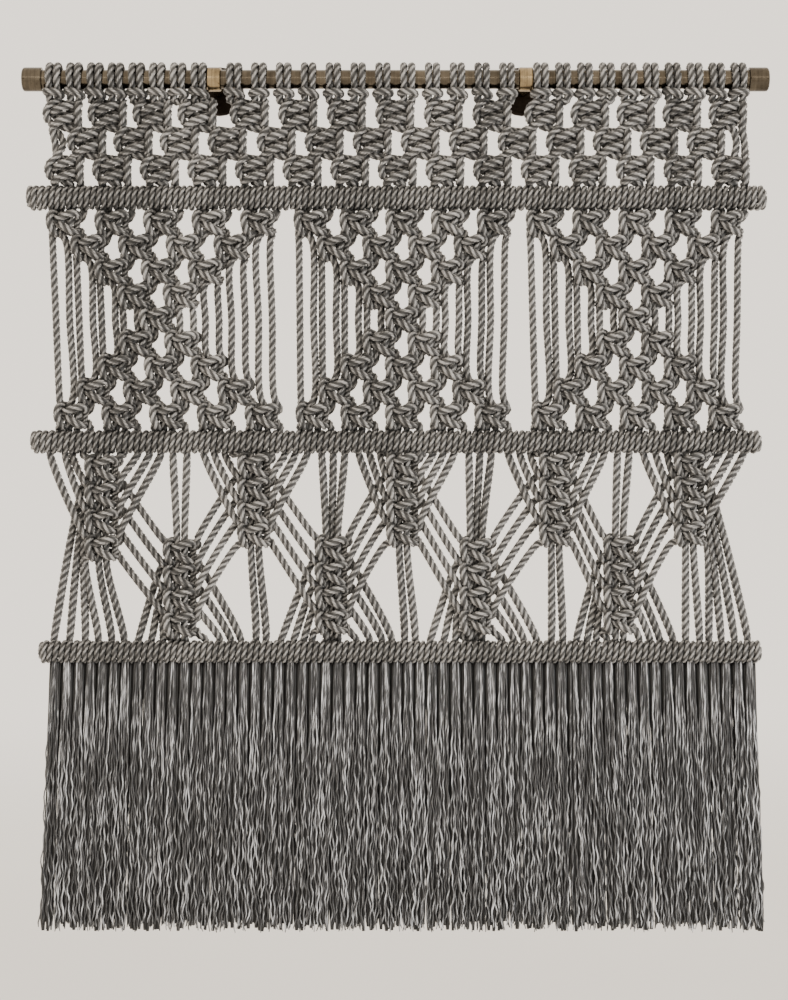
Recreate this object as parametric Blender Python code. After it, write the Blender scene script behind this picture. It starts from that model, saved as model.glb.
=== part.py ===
"""Macrame wall hanging on a rod: a knotted net of sixty cords with a fringe, hung from a brass rod.

Frame: +X right, -Y towards the viewer, +Z up. The origin is on the wall, behind the middle of
the rod, at the height of the rod's axis. Lengths are given in millimetres and built in metres.
"""
import math

import bmesh
import bpy
from mathutils import Matrix, Vector

MM = 0.001
GAP = 0.3                     # clearance between pieces that touch in use

# --- the rod, its end caps and its wall brackets
ROD_LENGTH = 745.0            # over both end caps
ROD_DIAMETER = 19.0
ROD_TO_WALL = 65.0            # from the wall to the rod's axis
ROUND_SIDES = 20              # sides of the round metal pieces
CAP_DIAMETER = 24.0
CAP_LENGTH = 20.0
CAP_SOCKET = 16.0             # depth of the hole that the rod's end sits in
CAP_ROUNDING = 3.0
BRACKET_X = {"left": -181.0, "right": 130.0}
COLLAR_DIAMETER = 24.0
COLLAR_WIDTH = 14.0
ARM_DIAMETER = 11.0
PLATE_DIAMETER = 50.0
PLATE_THICKNESS = 6.0
PLATE_SOCKET = 3.0            # how far the arm's end sits in the plate
CHAMFER = 1.0

# --- the cord and the net it makes
CORD = 7.3                    # diameter
PAIR = 2 * CORD + GAP         # width of two cords side by side
SLOT = CORD + 0.8             # spacing of the four cords that gather at a knot
CORD_COUNT = 60
ROD_LAP = 14.9                # from the rod's axis to the bends of the cord over it
ROD_BENDS = range(-15, 206, 55)    # their angles, from the front up and over
HITCH_FOOT = dict(z=-17.5, front=-5.7, back=2.4)  # where both sides of a hitch meet below the rod

# groups of hitches on the rod: how many, and where the first and the last sit
HITCH_GROUPS = [dict(count=8, first=-340.7, last=-196.0),
                dict(count=12, first=-160.8, last=111.1),
                dict(count=10, first=145.0, last=342.0)]

# the three wrapped bars
BARS = [dict(z=-118.5, left=-367.5, right=369.5, diameter=26.0),
        dict(z=-362.0, left=-363.5, right=364.5, diameter=24.5),
        dict(z=-571.5, left=-355.5, right=364.5, diameter=24.0)]
BAR_BLOCKS = 16               # each is raised in two ridges
RIDGE_DEPTH = 2.0
BAR_ENTRY = 6.0               # cords end this far above or below a bar's middle, inside it

# header net: alternate rows of knots between the rod and the first bar
HEADER_ROWS = [dict(z=-35.5, evened=0.55), dict(z=-63.3, evened=0.80), dict(z=-91.0, evened=1.0)]
HEADER_FIRST, HEADER_LAST = -326.5, 337.0
BAR_SPREAD = 1.01             # the first bar spreads the header's cords a little

# the middle panel: three hourglasses of knots, twenty cords each
HOURGLASSES = [dict(top=-234.0, waist=-238.5, foot=-228.0, top_pitch=48.3, foot_pitch=47.5),
               dict(top=6.7, waist=6.2, foot=6.5, top_pitch=45.5, foot_pitch=44.4),
               dict(top=238.5, waist=238.3, foot=239.8, top_pitch=45.9, foot_pitch=44.0)]
WAIST_PITCH = 45.0
HOURGLASS_CORDS = 20
HOURGLASS_TOP, HOURGLASS_FOOT = -145.0, -335.0
ROW_KNOTS = [5, 4, 3, 2, 1, 2, 3, 4, 5]
WAIST_ROW = 4
RIDGED_ROWS = range(2, 7)     # rows whose knots are solid; cords only gather in the others
SPREAD = 4.0                  # how far the inner cord of a free pair moves in
SPREAD_ROWS = 0.9             # it has moved in within this many rows
WAIST_SHARE = 0.6             # the part of that move left where a cord passes one row only
KNOT_WIDTH, KNOT_DEPTH, KNOT_HEIGHT = 32.0, 20.0, 21.0
KNOT_REACH = 4.2              # cords run to this far above or below a solid knot's middle

# lower panel: sinnets of four knots; "first" is the first cord that each one takes in
UPPER_SINNETS = [dict(x=-292.5, top=-378.5, foot=-482.0, first=0),
                 dict(x=-140.5, top=-377.5, foot=-466.0, first=12),
                 dict(x=7.5, top=-376.5, foot=-465.0, first=25),
                 dict(x=159.5, top=-375.5, foot=-465.0, first=38),
                 dict(x=293.5, top=-375.5, foot=-464.0, first=50)]
LOWER_SINNETS = [dict(x=-214.5, top=-460.0, foot=-556.0, first=6, fillers=2),
                 dict(x=-63.5, top=-457.0, foot=-553.0, first=18, fillers=3),
                 dict(x=80.5, top=-459.0, foot=-553.0, first=31, fillers=3),
                 dict(x=223.5, top=-456.0, foot=-553.0, first=44, fillers=2)]
SINNET_KNOTS = 4
LAYER = 3.95                  # cords cross in front of and behind the net's middle plane
ENTRIES = [5.0, 9.0, 12.0, 13.0]  # how far out from its middle cords enter each knot of a sinnet
EXITS = [14.0, 11.0, 8.0, 4.3]    # and leave it for the bar below
LEVEL_REACH = 4.0             # how far above a knot's middle cords enter it
FILLER_LEAN = 0.4             # how far towards their places at the bar the fillers lean
LOWER_CORD_FIRST, LOWER_CORD_LAST = -342.0, 350.0

# --- fringe
STRIP_HEIGHT, STRIP_DEPTH = 5.0, 9.0
FRINGE_TOP_LEFT, FRINGE_TOP_RIGHT = -343.0, 354.0
FRINGE_FOOT_LEFT, FRINGE_FOOT_RIGHT = -353.0, 366.0
FRINGE_FOOT = -846.0
LOCKS = 104
LOCK_WIDTH, LOCK_DEPTH = 6.2, 8.0
FOOT_UNEVENNESS = 5.0
FOOT_STEP = 2.4               # turns of the sine, in radians a lock, that make the foot uneven
SWAY, SWAY_STEP = 1.5, 0.37   # how far locks lean out and in, and how fast that changes
LOCK_BENDS = (0.35, 0.7, 1.0)

COLOURS = {"cord": ((0.235, 0.215, 0.195), 0.85, 0.0),
           "tube_brass": ((0.36, 0.27, 0.15), 0.32, 1.0),
           "collar_brass": ((0.66, 0.46, 0.22), 0.28, 1.0),
           "plate_bronze": ((0.09, 0.07, 0.055), 0.45, 0.9)}


def between(start, end, share):
    return start + (end - start) * share


def spread_evenly(first, last, count):
    return [between(first, last, index / (count - 1)) for index in range(count)]


# ---------------------------------------------------------------- scene and meshes

def clear_scene():
    for old in list(bpy.data.objects):
        bpy.data.objects.remove(old, do_unlink=True)


def new_collection(name):
    collection = bpy.data.collections.new(name)
    bpy.context.scene.collection.children.link(collection)
    return collection


def make_material(name):
    colour, roughness, metallic = COLOURS[name]
    material = bpy.data.materials.new(name)
    material.use_nodes = True
    shader = material.node_tree.nodes["Principled BSDF"]
    shader.inputs["Base Color"].default_value = (*colour, 1.0)
    shader.inputs["Roughness"].default_value = roughness
    shader.inputs["Metallic"].default_value = metallic
    return material


def mesh_object(name, shape, collection, material=None, smooth=False):
    mesh = bpy.data.meshes.new(name)
    bmesh.ops.scale(shape, verts=shape.verts, vec=(MM, MM, MM))
    shape.to_mesh(mesh)
    shape.free()
    if smooth:
        mesh.shade_smooth()
        mesh.set_sharp_from_angle(angle=math.radians(40))
    if material:
        mesh.materials.append(material)
    thing = bpy.data.objects.new(name, mesh)
    collection.objects.link(thing)
    return thing


def turned(shape, profile, sides, matrix):
    """Adds the solid that a profile of (radius, height) points makes round its own Z axis."""
    corners = [shape.verts.new((radius, 0, height)) for radius, height in profile]
    edges = [shape.edges.new(ends) for ends in zip(corners, corners[1:])]
    bmesh.ops.spin(shape, geom=corners + edges, cent=(0, 0, 0), axis=(0, 0, 1), dvec=(0, 0, 0),
                   angle=2 * math.pi, steps=sides, use_merge=True)
    bmesh.ops.remove_doubles(shape, verts=shape.verts, dist=0.001)
    bmesh.ops.transform(shape, matrix=matrix, verts=shape.verts)
    bmesh.ops.recalc_face_normals(shape, faces=shape.faces)


def strand(shape, points, width=CORD, depth=CORD):
    """Adds a three-sided cord, or a band of two cords, along its points, with its ridge in front
    where the points run down. A band's sections stay level, so that it can lie close to another."""
    rings = []
    for index, point in enumerate(points):
        before, after = points[max(index - 1, 0)], points[min(index + 1, len(points) - 1)]
        along = (after - before).normalized()
        side = Vector((1, 0, 0))
        if width < PAIR:
            side = (side - along * along.x).normalized()
        front = along.cross(side).normalized()
        rings.append([shape.verts.new(point + offset) for offset in
                      (side * width / 2 - front * depth / 2, front * depth / 2,
                       -side * width / 2 - front * depth / 2)])
    for upper, lower in zip(rings, rings[1:]):
        for corner in range(3):
            following = (corner + 1) % 3
            shape.faces.new((upper[corner], upper[following], lower[following], lower[corner]))
    shape.faces.new(rings[0][::-1])
    shape.faces.new(rings[-1])


def ridged_block(shape, matrix, length, width, depth, blocks, ridge):
    """Adds a six-sided bar along its own Z axis: flat sides at +-X, where cords run in, and two
    ridges a block raised across the front and the back."""
    corner_depth = depth / 2 - ridge
    columns = []                                  # four corners, then the front and back lines
    for x, y in ((1, -1), (1, 1), (-1, 1), (-1, -1)):
        columns.append([shape.verts.new(matrix @ Vector((x * width / 2, y * corner_depth,
                                                         length * (0.5 - block / blocks))))
                        for block in range(blocks + 1)])
    lines = []
    for y in (-1, 1):
        lines.append([shape.verts.new(matrix @ Vector((0, y * (depth / 2 - ridge * (step % 2 == 0)),
                                                       length * (0.5 - step / blocks / 4))))
                      for step in range(4 * blocks + 1)])
    for line, corners in ((lines[0], columns[0]), (lines[1], columns[1]),
                          (lines[1], columns[2]), (lines[0], columns[3])):
        for block in range(blocks):
            steps = line[4 * block:4 * block + 5]
            upper, lower = corners[block], corners[block + 1]
            for ends, corner in ((steps[:2], upper), (steps[1:3], upper),
                                 (steps[2:4], lower), (steps[3:], lower)):
                shape.faces.new((*ends, corner))
            shape.faces.new((upper, steps[2], lower))
    for first, second in ((columns[0], columns[1]), (columns[2], columns[3])):
        shape.faces.new((*first, *second[::-1]))
    for end in (0, -1):
        shape.faces.new((columns[0][end], columns[1][end], lines[1][end],
                         columns[2][end], columns[3][end], lines[0][end]))


# ---------------------------------------------------------------- rod, caps and brackets

def along_x(x, y=-ROD_TO_WALL):
    """Lays a turned piece's own Z axis along the rod, starting at x."""
    return Matrix.Translation((x, y, 0)) @ Matrix.Rotation(math.pi / 2, 4, "Y")


def build_rod(collection, material):
    shape = bmesh.new()
    half = ROD_LENGTH / 2 - (CAP_LENGTH - CAP_SOCKET) - GAP
    radius = ROD_DIAMETER / 2
    turned(shape, [(0, -half), (radius, -half), (radius, half), (0, half)], ROUND_SIDES, along_x(0))
    mesh_object("rod", shape, collection, material, smooth=True)


def build_cap(side, collection, material):
    """A closed cup over the rod's end, with a rounded outer rim."""
    radius, bore = CAP_DIAMETER / 2, ROD_DIAMETER / 2 + GAP
    rim = [(radius - CAP_ROUNDING * (1 - math.cos(angle)),
            CAP_LENGTH - CAP_ROUNDING * (1 - math.sin(angle)))
           for angle in spread_evenly(0, math.pi / 2, 4)]
    profile = [(0, CAP_SOCKET), (bore, CAP_SOCKET), (bore, 0), (radius - CHAMFER / 2, 0),
               (radius, CHAMFER / 2), *rim, (0, CAP_LENGTH)]
    inner_end = ROD_LENGTH / 2 - CAP_LENGTH
    outward = Matrix.Identity(4) if side == "right" else Matrix.Rotation(math.pi, 4, "Z")
    shape = bmesh.new()
    turned(shape, profile, ROUND_SIDES,
           Matrix.Translation((0, -ROD_TO_WALL, 0)) @ outward @ along_x(inner_end, 0))
    mesh_object(f"end_cap_{side}", shape, collection, material, smooth=True)


def build_bracket(side, collection, cutters, material):
    """A collar round the rod on an arm that reaches back into its wall plate."""
    x, radius, half = BRACKET_X[side], COLLAR_DIAMETER / 2, COLLAR_WIDTH / 2
    bore = ROD_DIAMETER / 2 + GAP
    collar = bmesh.new()
    profile = [(bore, -half), (radius - CHAMFER, -half), (radius, -half + CHAMFER),
               (radius, half - CHAMFER), (radius - CHAMFER, half), (bore, half), (bore, -half)]
    turned(collar, profile, ROUND_SIDES, along_x(x))
    bracket = mesh_object(f"bracket_{side}", collar, collection, material, smooth=True)

    arm = bmesh.new()
    wall_end = PLATE_THICKNESS - PLATE_SOCKET + GAP
    rod_end = ROD_TO_WALL - (bore + radius) / 2
    to_rod = Matrix.Translation((x, 0, 0)) @ Matrix.Rotation(math.pi / 2, 4, "X")
    turned(arm, [(0, wall_end), (ARM_DIAMETER / 2, wall_end), (ARM_DIAMETER / 2, rod_end),
                 (0, rod_end)], ROUND_SIDES, to_rod)
    stem = mesh_object(f"arm_{side}", arm, cutters)
    hide(stem)
    union(bracket, stem)


def build_wall_plate(side, collection, material):
    """A round plate against the wall, with a socket for the arm."""
    shape = bmesh.new()
    radius, bore = PLATE_DIAMETER / 2, ARM_DIAMETER / 2 + GAP
    floor = PLATE_THICKNESS - PLATE_SOCKET
    profile = [(0, floor), (bore, floor), (bore, PLATE_THICKNESS),
               (radius - 2 * CHAMFER, PLATE_THICKNESS), (radius, PLATE_THICKNESS - 2 * CHAMFER),
               (radius, 0), (0, 0)]
    to_room = Matrix.Translation((BRACKET_X[side], 0, 0)) @ Matrix.Rotation(math.pi / 2, 4, "X")
    turned(shape, profile, ROUND_SIDES, to_room)
    mesh_object(f"wall_plate_{side}", shape, collection, material, smooth=True)


def hide(thing):
    thing.hide_render = True
    thing.display_type = "WIRE"


def union(thing, other):
    joining = thing.modifiers.new(f"with_{other.name}", "BOOLEAN")
    joining.operation = "UNION"
    joining.solver = "EXACT"
    joining.object = other


# ---------------------------------------------------------------- the net

def place(x, z, y=0.0):
    """A point of the net: x along the rod, z below its axis, y from the net's middle plane."""
    return Vector((x, y - ROD_TO_WALL, z))


def add_bars(shape):
    for bar in BARS:
        middle = place((bar["left"] + bar["right"]) / 2, bar["z"])
        lying = Matrix.Translation(middle) @ Matrix.Rotation(math.pi / 2, 4, "Y")
        ridged_block(shape, lying, bar["right"] - bar["left"], bar["diameter"], bar["diameter"],
                     BAR_BLOCKS, RIDGE_DEPTH)


def add_knots(shape):
    for glass in HOURGLASSES:
        for row in RIDGED_ROWS:
            for x in row_knots(glass, row):
                ridged_block(shape, Matrix.Translation(place(x, row_z(row))), KNOT_HEIGHT,
                             KNOT_WIDTH, KNOT_DEPTH, 1, RIDGE_DEPTH)
    for sinnet in UPPER_SINNETS + LOWER_SINNETS:
        middle = place(sinnet["x"], (sinnet["top"] + sinnet["foot"]) / 2)
        ridged_block(shape, Matrix.Translation(middle), sinnet["top"] - sinnet["foot"],
                     KNOT_WIDTH, KNOT_DEPTH, SINNET_KNOTS, RIDGE_DEPTH)


def hitch_places():
    return [x for group in HITCH_GROUPS
            for x in spread_evenly(group["first"], group["last"], group["count"])]


def header_paths():
    """Thirty doubled cords, each over the rod and down through the header net."""
    hitches = hitch_places()
    even = spread_evenly(HEADER_FIRST, HEADER_LAST, len(hitches) // 2)
    home = [even[pair // 2] + (SLOT if pair % 2 else -SLOT) for pair in range(len(hitches))]
    paths = []
    for pair, x in enumerate(hitches):
        path = [place(x, HITCH_FOOT["z"], y=HITCH_FOOT["front"])]
        for angle in ROD_BENDS:
            turn = math.radians(angle)
            path.append(place(x, ROD_LAP * math.sin(turn), y=-ROD_LAP * math.cos(turn)))
        path.append(place(x, HITCH_FOOT["z"], y=HITCH_FOOT["back"]))
        for row, level in enumerate(HEADER_ROWS):
            partner = pair + 1 if (pair + row) % 2 == 0 else pair - 1
            own = between(x, home[pair], level["evened"])
            if 0 <= partner < len(hitches):
                other = between(hitches[partner], home[partner], level["evened"])
                side = SLOT if pair > partner else -SLOT
                own = (own + other) / 2 + side
            path.append(place(own, level["z"]))
        path.append(place(home[pair] * BAR_SPREAD, BARS[0]["z"] + BAR_ENTRY))
        paths.append(path)
    return paths


def row_z(row):
    return between(HOURGLASS_TOP, HOURGLASS_FOOT, row / (len(ROW_KNOTS) - 1))


def row_knots(glass, row):
    """The centres of one row's knots in an hourglass."""
    middle = (len(ROW_KNOTS) - 1) // 2
    share = abs(row - middle) / middle
    end, pitch = ("top", "top_pitch") if row < middle else ("foot", "foot_pitch")
    centre = between(glass["waist"], glass[end], share)
    step = between(WAIST_PITCH, glass[pitch], share)
    count = ROW_KNOTS[row]
    return [centre + step * (knot - (count - 1) / 2) for knot in range(count)]


def cord_at(glass, cord, row):
    """Where a cord lies in its row's knot, or None where it hangs free beside the knots."""
    outside = (HOURGLASS_CORDS - 4 * ROW_KNOTS[row]) // 2
    taken = cord - outside
    if not 0 <= taken < 4 * ROW_KNOTS[row]:
        return None
    return row_knots(glass, row)[taken // 4] + SLOT * (taken % 4 - 1.5)


def hourglass_cords(shape, glass):
    """Single cords where they part, doubled ones where they stay together."""
    rows = range(len(ROW_KNOTS))
    first_solid, last_solid = RIDGED_ROWS[0], RIDGED_ROWS[-1]
    bar_top, bar_foot = BARS[0]["z"] - BAR_ENTRY, BARS[1]["z"] + BAR_ENTRY
    for cord in range(HOURGLASS_CORDS):
        inward = 1 if cord < HOURGLASS_CORDS / 2 else -1
        shift = SPREAD * inward if (cord % 2 == 1) == (inward == 1) else 0
        knots = [row for row in rows if cord_at(glass, cord, row) is not None]
        upper = max(row for row in knots if row <= WAIST_ROW)
        lower = min(row for row in knots if row >= WAIST_ROW)
        doubled = upper >= first_solid
        loose = []
        if upper != lower:                                     # it hangs free round the waist
            x_upper, x_lower = cord_at(glass, cord, upper), cord_at(glass, cord, lower)
            if shift:
                loose = [place(x_upper + shift, row_z(upper + SPREAD_ROWS)),
                         place(x_lower + shift, row_z(lower - SPREAD_ROWS))]
            if lower - upper == 2:
                loose = [place((x_upper + x_lower) / 2 + shift * WAIST_SHARE, row_z(WAIST_ROW))]
        if not doubled:
            path = [place(cord_at(glass, cord, 0), bar_top)]
            path += [place(cord_at(glass, cord, row), row_z(row)) for row in knots if row <= upper]
            path += loose
            path += [place(cord_at(glass, cord, row), row_z(row)) for row in knots if row >= lower]
            path += [place(cord_at(glass, cord, rows[-1]), bar_foot)]
            strand(shape, path)
        elif upper != lower:
            path = [place(cord_at(glass, cord, upper), row_z(upper) - KNOT_REACH), *loose,
                    place(cord_at(glass, cord, lower), row_z(lower) + KNOT_REACH)]
            strand(shape, path)
        if doubled and cord % 2 == 0:
            pair = [(row, cord_at(glass, cord, row) + SLOT / 2) for row in knots]
            top = [place(pair[0][1], bar_top)]
            top += [place(x, row_z(row)) for row, x in pair if row < first_solid]
            meet = dict(pair)
            top += [place(meet[first_solid], row_z(first_solid) + KNOT_REACH)]
            strand(shape, top, width=PAIR)
            foot = [place(meet[last_solid], row_z(last_solid) - KNOT_REACH)]
            foot += [place(x, row_z(row)) for row, x in pair if row > last_solid]
            foot += [place(pair[-1][1], bar_foot)]
            strand(shape, foot, width=PAIR)
            for row in RIDGED_ROWS[:-1]:
                if row in meet and row + 1 in meet:
                    link = [place(meet[row], row_z(row) - KNOT_REACH),
                            place(meet[row + 1], row_z(row + 1) + KNOT_REACH)]
                    strand(shape, link, width=PAIR)


def knot_levels(sinnet):
    """The height of each knot's middle in a sinnet."""
    step = (sinnet["top"] - sinnet["foot"]) / SINNET_KNOTS
    return [sinnet["top"] - step * (knot + 0.5) for knot in range(SINNET_KNOTS)]


def sinnet_cords(shape):
    """Cords from bar to bar, through the sinnets. They cross in front of and behind each other."""
    lanes = spread_evenly(LOWER_CORD_FIRST, LOWER_CORD_LAST, CORD_COUNT)
    from_bar, to_bar = BARS[1]["z"] - BAR_ENTRY, BARS[2]["z"] + BAR_ENTRY
    for order, sinnet in enumerate(UPPER_SINNETS):
        first = sinnet["first"]
        for index, level in enumerate(knot_levels(sinnet)):
            for side in (-1, 1):
                lane = first + (3 - index if side < 0 else 6 + index)
                enter = place(sinnet["x"] + side * ENTRIES[index], level + LEVEL_REACH, y=-LAYER)
                strand(shape, [place(lanes[lane], from_bar, y=-LAYER), enter])
                neighbour = order + (side - 1) // 2
                if 0 <= neighbour < len(LOWER_SINNETS):
                    lower = LOWER_SINNETS[neighbour]
                    leave = place(sinnet["x"] + side * ENTRIES[-1], level, y=LAYER)
                    arrive = place(lower["x"] - side * ENTRIES[-1], knot_levels(lower)[index], y=LAYER)
                else:
                    lane = first + (index if side < 0 else 9 - index)
                    leave = place(sinnet["x"] + side * EXITS[index], level, y=LAYER)
                    arrive = place(lanes[lane], to_bar, y=LAYER)
                strand(shape, [leave, arrive])
        for filler in (4, 5):
            x = sinnet["x"] + SLOT * (filler - 4.5)
            strand(shape, [place(x, sinnet["foot"] + LEVEL_REACH, y=-LAYER),
                           place(lanes[first + filler], to_bar, y=-LAYER)])
    for sinnet in LOWER_SINNETS:
        first, fillers = sinnet["first"], sinnet["fillers"]
        for index, level in enumerate(knot_levels(sinnet)):
            for side in (-1, 1):
                lane = first + (index if side < 0 else 7 + fillers - index)
                strand(shape, [place(sinnet["x"] + side * EXITS[index], level, y=-LAYER),
                               place(lanes[lane], to_bar, y=-LAYER)])
        for filler in range(fillers):
            lane = lanes[first + 4 + filler]
            x = sinnet["x"] + SLOT * (filler - (fillers - 1) / 2)
            strand(shape, [place(lane, from_bar), place(x, sinnet["top"] - LEVEL_REACH)])
            foot = place(between(x, lane, FILLER_LEAN), sinnet["foot"] + LEVEL_REACH, y=LAYER)
            strand(shape, [foot, place(lane, to_bar, y=LAYER)])


def build_macrame(collection, cutters, material):
    knots = bmesh.new()
    add_bars(knots)
    add_knots(knots)
    bmesh.ops.recalc_face_normals(knots, faces=knots.faces)
    macrame = mesh_object("macrame", knots, collection, material)

    cords = bmesh.new()
    for path in header_paths():
        strand(cords, path, width=PAIR)
    for glass in HOURGLASSES:
        hourglass_cords(cords, glass)
    sinnet_cords(cords)
    bmesh.ops.recalc_face_normals(cords, faces=cords.faces)
    net = mesh_object("cords", cords, cutters)
    hide(net)
    union(macrame, net)


# ---------------------------------------------------------------- the fringe

def build_fringe(collection, cutters, material):
    """Unravelled cord ends as tapered locks, rooted in a narrow strip under the last bar."""
    bar = BARS[2]
    top = bar["z"] - bar["diameter"] / 2 - GAP
    strip = bmesh.new()
    bmesh.ops.create_cube(strip, size=1.0)
    centre = (FRINGE_TOP_LEFT + FRINGE_TOP_RIGHT) / 2
    size = (FRINGE_TOP_RIGHT - FRINGE_TOP_LEFT + LOCK_WIDTH, STRIP_DEPTH, STRIP_HEIGHT)
    bmesh.ops.scale(strip, verts=strip.verts, vec=size)
    bmesh.ops.translate(strip, verts=strip.verts, vec=place(centre, top - STRIP_HEIGHT / 2))
    fringe = mesh_object("fringe", strip, collection, material)

    locks = bmesh.new()
    roots = spread_evenly(FRINGE_TOP_LEFT, FRINGE_TOP_RIGHT, LOCKS)
    tips = spread_evenly(FRINGE_FOOT_LEFT, FRINGE_FOOT_RIGHT, LOCKS)
    for index, (root, tip) in enumerate(zip(roots, tips)):
        foot = FRINGE_FOOT + FOOT_UNEVENNESS * math.sin(FOOT_STEP * index)
        sway = SWAY * math.sin(SWAY_STEP * index)
        path = [place(root, top - STRIP_HEIGHT / 2)]
        for share in LOCK_BENDS:
            path.append(place(between(root, tip, share), between(top, foot, share), y=sway * share))
        strand(locks, path, width=LOCK_WIDTH, depth=LOCK_DEPTH)
    bmesh.ops.recalc_face_normals(locks, faces=locks.faces)
    tufts = mesh_object("locks", locks, cutters)
    hide(tufts)
    union(fringe, tufts)


def main():
    clear_scene()
    parts = new_collection("macrame_wall_hanging")
    cutters = new_collection("joined_pieces")
    cord = make_material("cord")
    tube_brass = make_material("tube_brass")
    collar_brass = make_material("collar_brass")
    plate_bronze = make_material("plate_bronze")
    build_rod(parts, tube_brass)
    for side in BRACKET_X:
        build_cap(side, parts, tube_brass)
        build_bracket(side, parts, cutters, collar_brass)
        build_wall_plate(side, parts, plate_bronze)
    build_macrame(parts, cutters, cord)
    build_fringe(parts, cutters, cord)


main()
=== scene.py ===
import math
import random
import bpy
import numpy as np
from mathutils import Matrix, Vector
from mathutils.kdtree import KDTree


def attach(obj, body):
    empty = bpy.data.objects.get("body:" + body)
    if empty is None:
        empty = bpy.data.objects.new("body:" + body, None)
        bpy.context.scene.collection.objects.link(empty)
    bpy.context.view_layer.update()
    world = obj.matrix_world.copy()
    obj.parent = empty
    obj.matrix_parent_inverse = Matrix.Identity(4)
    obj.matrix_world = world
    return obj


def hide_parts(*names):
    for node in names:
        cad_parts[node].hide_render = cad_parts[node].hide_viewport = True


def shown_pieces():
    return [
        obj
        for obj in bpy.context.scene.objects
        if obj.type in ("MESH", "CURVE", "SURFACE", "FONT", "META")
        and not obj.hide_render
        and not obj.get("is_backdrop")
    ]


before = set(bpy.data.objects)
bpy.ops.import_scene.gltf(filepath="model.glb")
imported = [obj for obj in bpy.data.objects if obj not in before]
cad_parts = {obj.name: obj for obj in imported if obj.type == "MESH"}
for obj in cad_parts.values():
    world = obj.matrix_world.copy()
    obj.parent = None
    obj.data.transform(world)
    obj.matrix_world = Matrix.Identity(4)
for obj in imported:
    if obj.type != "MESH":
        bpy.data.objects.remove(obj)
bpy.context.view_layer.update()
print("frame loaded")

# Lengths are in millimetres here and become metres in place() and tube().
# x runs along the rod, z is measured from its axis, y from the middle plane of the net,
# and minus y is towards the room.
mm = 0.001
rodToWall = 65.0
# tightRadius: where a bar's winding pulls it thin. lay: the length of one turn of the plies.
# slot: the step between cords side by side. crease, back and shoulders: a ply's section, in
# shares of the radius and of the ply's width
rope = {"radius": 3.95, "tightRadius": 3.0, "lay": 24.5, "step": 2.6, "slot": 8.1,
        "plies": 3, "crease": 0.64, "back": 0.985, "shoulders": (0.30, 0.70)}
cordCount = 60


def between(start, end, share):
    return start + (end - start) * share


def spreadEvenly(first, last, count):
    return [between(first, last, index / (count - 1)) for index in range(count)]


def place(x, z, y=0.0, radius=rope["radius"]):
    return (x * mm, (y - rodToWall) * mm, z * mm, radius * mm)


def smoothPath(points, step):
    # centripetal Catmull-Rom through points of x, y, z and radius, walked in even steps
    samples = 10        # between two points
    smallest = 1e-9     # keeps two points in one place apart
    points = np.array(points)
    points = np.vstack([2 * points[0] - points[1], points, 2 * points[-1] - points[-2]])
    knots = np.sqrt(np.linalg.norm(np.diff(points[:, :3], axis=0), axis=1)) + smallest
    knots = np.concatenate([[0], np.cumsum(knots)])
    p0, p1, p2, p3 = (points[i:len(points) - 3 + i, None, :] for i in range(4))
    t0, t1, t2, t3 = (knots[i:len(knots) - 3 + i, None, None] for i in range(4))
    t = t1 + (t2 - t1) * np.linspace(0, 1, samples, endpoint=False)[None, :, None]
    a1 = (p0 * (t1 - t) + p1 * (t - t0)) / (t1 - t0)
    a2 = (p1 * (t2 - t) + p2 * (t - t1)) / (t2 - t1)
    a3 = (p2 * (t3 - t) + p3 * (t - t2)) / (t3 - t2)
    b1 = (a1 * (t2 - t) + a2 * (t - t0)) / (t2 - t0)
    b2 = (a2 * (t3 - t) + a3 * (t - t1)) / (t3 - t1)
    curve = ((b1 * (t2 - t) + b2 * (t - t1)) / (t2 - t1)).reshape(-1, 4)
    curve = np.vstack([curve, points[-2]])
    length = np.concatenate([[0], np.cumsum(np.linalg.norm(np.diff(curve[:, :3], axis=0), axis=1))])
    count = max(int(round(length[-1] / step)), 2) + 1
    even = np.linspace(0, length[-1], count)
    return np.stack([np.interp(even, length, curve[:, axis]) for axis in range(4)], axis=1), even


def carriedFrames(centres):
    # two directions across the path, carried along it without turning round it
    along = np.gradient(centres, axis=0)
    along /= np.linalg.norm(along, axis=1)[:, None]
    side = np.cross(along[0], (0.0, 1.0, 0.0))
    if np.linalg.norm(side) < 0.1:      # the path starts along y
        side = np.cross(along[0], (1.0, 0.0, 0.0))
    sides = np.empty_like(centres)
    for index, direction in enumerate(along):
        side = side - direction * side.dot(direction)
        side = side / math.sqrt(side.dot(side))
        sides[index] = side
    return sides, np.cross(along, sides)


def tube(points, section, step, lay, phase, tone):
    # a section that turns as it goes along, with what its material reads at each corner
    path, length = smoothPath(points, step * mm)
    centres, radius = path[:, :3], path[:, 3]
    side, other = carriedFrames(centres)
    angle = section["angles"][None, :] + phase + (2 * math.pi * length / (lay * mm))[:, None]
    reach = radius[:, None] * section["reach"][None, :]
    corners = (centres[:, None, :] + (reach * np.cos(angle))[..., None] * side[:, None, :]
               + (reach * np.sin(angle))[..., None] * other[:, None, :])
    return {"corners": corners, "centres": centres, "length": length,
            "tone": np.full(angle.size, tone), "hidden": np.zeros(angle.size),
            "raised": np.tile(section["raised"], len(centres))}


def plySection():
    # each ply has a rounded back and meets the next one in a crease; its third number is painted
    # light, 1 on the back and 0 in the crease
    turn = 2 * math.pi / rope["plies"]
    corners = [(0.0, rope["crease"], 0.0)]
    corners += [(share, rope["back"], 1.0) for share in rope["shoulders"]]
    return {"angles": np.array([(ply + share) * turn for ply in range(rope["plies"])
                                for share, _, _ in corners]),
            "reach": np.array([out for _, out, _ in corners] * rope["plies"]),
            "raised": np.array([up for _, _, up in corners] * rope["plies"])}


def roundSection(sides):
    return {"angles": np.arange(sides) * 2 * math.pi / sides, "reach": np.ones(sides),
            "raised": np.ones(sides)}


plied = plySection()
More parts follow.
